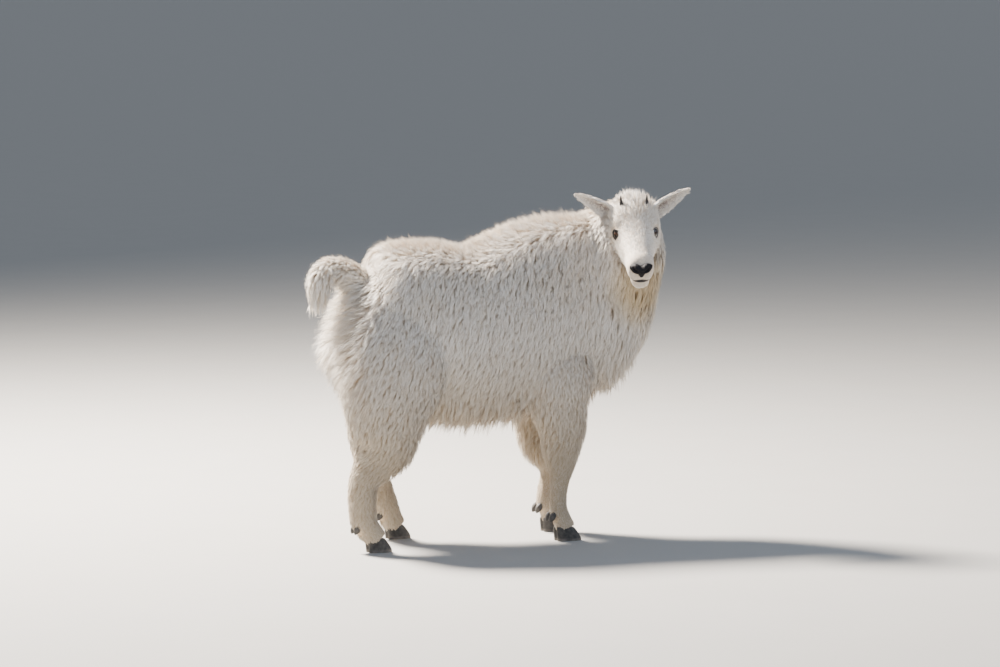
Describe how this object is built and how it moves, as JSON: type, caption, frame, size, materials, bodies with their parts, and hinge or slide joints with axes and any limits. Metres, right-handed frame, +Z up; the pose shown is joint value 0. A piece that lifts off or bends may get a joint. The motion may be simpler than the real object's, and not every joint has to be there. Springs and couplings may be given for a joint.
{
  "type": "mountain goat kid",
  "caption": "Young mountain goat with a thick woolly white coat, standing on all four hooves with its head turned back over its right shoulder.",
  "frame": {"origin": "on the floor, under the middle of the whole figure's box", "axes": "+X from rump to chest, +Y to the animal's left, +Z up from the floor"},
  "size_m": [0.6796, 0.32, 0.6126],
  "materials": {
    "coat": "woolly white hair, creamy under the belly and on the legs",
    "horn": "dark, finely ringed",
    "hoof": "dark grey, satin",
    "nose": "black, moist",
    "eye": "dark brown, wet"
  },
  "bodies": {
    "root": {"ear_left": "coat", "ear_right": "coat", "eye_left": "eye", "eye_right": "eye", "foreleg_left_claw_inner": "hoof", "foreleg_left_claw_outer": "hoof", "foreleg_left_dewclaw_inner": "hoof", "foreleg_left_dewclaw_outer": "hoof", "foreleg_left_lower": "coat", "foreleg_left_upper": "coat", "foreleg_right_claw_inner": "hoof", "foreleg_right_claw_outer": "hoof", "foreleg_right_dewclaw_inner": "hoof", "foreleg_right_dewclaw_outer": "hoof", "foreleg_right_lower": "coat", "foreleg_right_upper": "coat", "head": "coat", "hindleg_left_claw_inner": "hoof", "hindleg_left_claw_outer": "hoof", "hindleg_left_dewclaw_inner": "hoof", "hindleg_left_dewclaw_outer": "hoof", "hindleg_left_lower": "coat", "hindleg_left_upper": "coat", "hindleg_right_claw_inner": "hoof", "hindleg_right_claw_outer": "hoof", "hindleg_right_dewclaw_inner": "hoof", "hindleg_right_dewclaw_outer": "hoof", "hindleg_right_lower": "coat", "hindleg_right_upper": "coat", "horn_left": "horn", "horn_right": "horn", "neck": "coat", "nose": "nose", "tail": "coat", "torso": "coat"}
  },
  "joints": []
}
